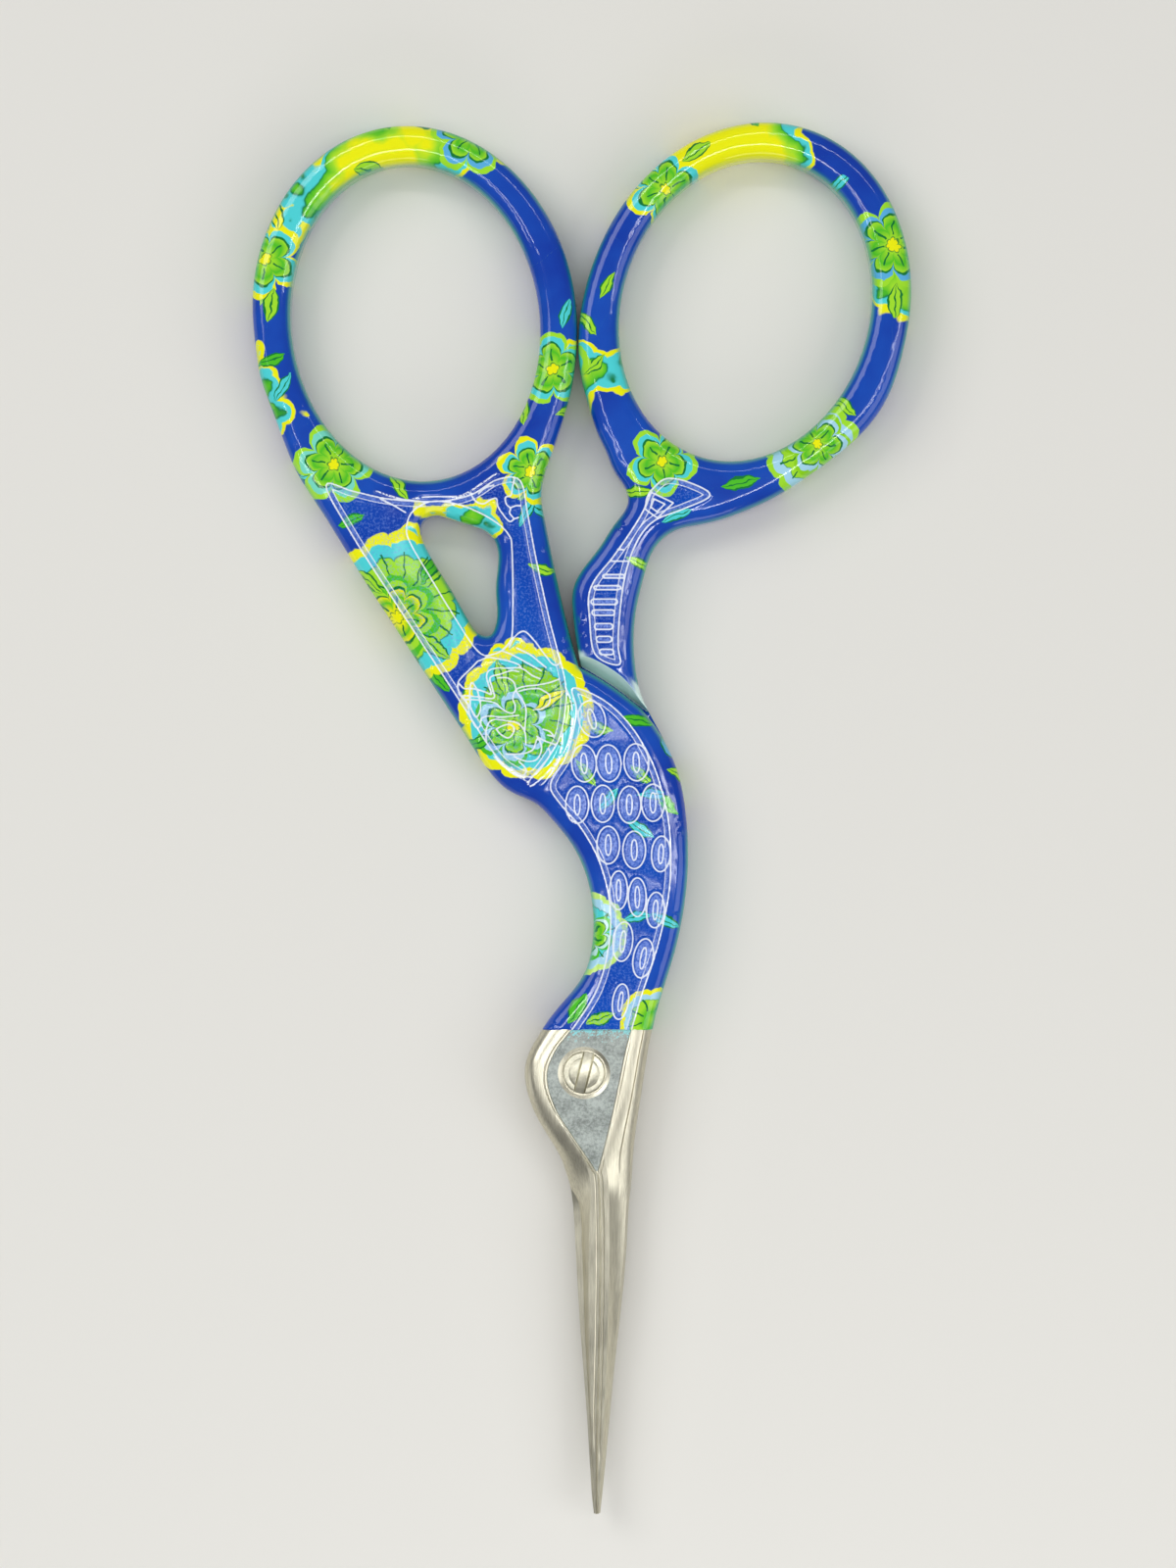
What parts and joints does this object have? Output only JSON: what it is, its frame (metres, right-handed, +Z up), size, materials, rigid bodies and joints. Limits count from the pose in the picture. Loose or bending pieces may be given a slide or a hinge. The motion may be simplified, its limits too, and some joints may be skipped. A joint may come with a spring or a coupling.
{
  "type": "embroidery scissors",
  "caption": "Small stork-shaped embroidery scissors: two crossing steel halves on a slotted pivot screw, narrow pointed blades, engraved bird body and coated finger rings.",
  "frame": {"origin": "middle of the closed scissors' box, at the underside they lie on", "axes": "+Z up out of the front face, +Y from the tips towards the finger rings, +X to the right in the front view"},
  "size_m": [0.0544, 0.1148, 0.0046],
  "materials": {
    "coated_steel": "glossy printed lacquer over steel",
    "bare_steel": "satin"
  },
  "bodies": {
    "lower_half": {"lower_half": "coated_steel", "pivot_screw": "bare_steel"},
    "upper_half": {"upper_half": "coated_steel"}
  },
  "joints": [
    {"name": "blade_pivot", "type": "hinge", "parent": "lower_half", "child": "upper_half", "pos_m": [0.00018, -0.02092, 0.0023], "axis": [0, 0, 1], "range_deg": [0, 60]}
  ]
}
